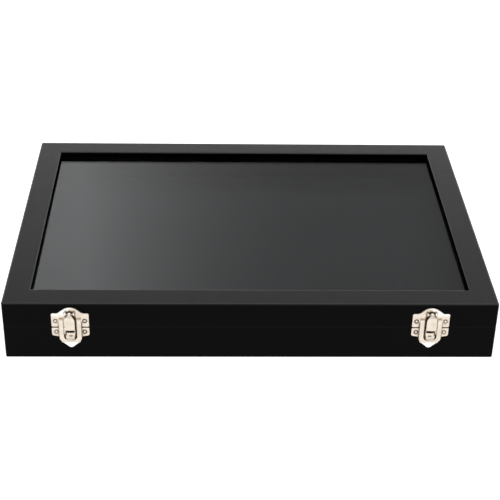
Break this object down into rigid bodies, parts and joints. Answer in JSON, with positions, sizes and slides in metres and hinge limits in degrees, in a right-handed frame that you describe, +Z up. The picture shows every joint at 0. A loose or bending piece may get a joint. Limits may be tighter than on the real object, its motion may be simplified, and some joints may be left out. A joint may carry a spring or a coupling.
{
  "type": "coin display frame",
  "caption": "Shallow black leatherette display box with a glazed hinged lid, nickel front latches and a velvet pad for coins.",
  "frame": {"origin": "middle of the underside, on the surface the case stands on", "axes": "+X to the right seen from the front, +Y to the back where the hinges are, +Z up; the latches face -Y"},
  "size_m": [0.35, 0.2601, 0.046],
  "materials": {
    "leatherette": "fine-grained black leatherette, satin",
    "board": "raw fibreboard",
    "foot_paper": "black felt paper",
    "velvet": "black velvet, short pile",
    "foam": "grey open-cell foam",
    "glass": "clear polished float glass",
    "nickel": "bright nickel plate, slightly warm"
  },
  "bodies": {
    "base": {"base_front_wall": "board", "base_back_wall": "board", "base_left_wall": "board", "base_right_wall": "board", "base_bottom_panel": "board", "foot_sheet": "foot_paper", "base_leather_wrap": "leatherette", "tray_lining": "velvet", "pad_foam": "foam", "pad_velvet": "velvet", "left_catch_plate": "nickel", "left_catch_nail_1": "nickel", "left_catch_nail_2": "nickel", "left_hinge_base_leaf": "nickel", "left_hinge_pin": "nickel", "left_hinge_base_screw_1": "nickel", "left_hinge_base_screw_2": "nickel", "right_catch_plate": "nickel", "right_catch_nail_1": "nickel", "right_catch_nail_2": "nickel", "right_hinge_base_leaf": "nickel", "right_hinge_pin": "nickel", "right_hinge_base_screw_1": "nickel", "right_hinge_base_screw_2": "nickel"},
    "lid": {"lid_front_rail": "board", "lid_back_rail": "board", "lid_left_rail": "board", "lid_right_rail": "board", "lid_leather_wrap": "leatherette", "glass_pane": "glass", "glass_bead_front": "velvet", "glass_bead_back": "velvet", "glass_bead_left": "velvet", "glass_bead_right": "velvet", "left_hasp_plate": "nickel", "left_hasp_nail_1": "nickel", "left_hasp_nail_2": "nickel", "left_strap_pin": "nickel", "left_hinge_lid_leaf": "nickel", "left_hinge_lid_screw_1": "nickel", "left_hinge_lid_screw_2": "nickel", "right_hasp_plate": "nickel", "right_hasp_nail_1": "nickel", "right_hasp_nail_2": "nickel", "right_strap_pin": "nickel", "right_hinge_lid_leaf": "nickel", "right_hinge_lid_screw_1": "nickel", "right_hinge_lid_screw_2": "nickel"},
    "left_strap": {"left_strap": "nickel"},
    "right_strap": {"right_strap": "nickel"}
  },
  "joints": [
    {"name": "lid_hinge", "type": "hinge", "parent": "base", "child": "lid", "pos_m": [0, 0.1266, 0.0266], "axis": [-1, 0, 0], "range_deg": [0, 105]},
    {"name": "left_strap_swing", "type": "hinge", "parent": "lid", "child": "left_strap", "pos_m": [-0.1275, -0.1276, 0.0386], "axis": [-1, 0, 0], "range_deg": [0, 150]},
    {"name": "right_strap_swing", "type": "hinge", "parent": "lid", "child": "right_strap", "pos_m": [0.1275, -0.1276, 0.0386], "axis": [-1, 0, 0], "range_deg": [0, 150]}
  ]
}
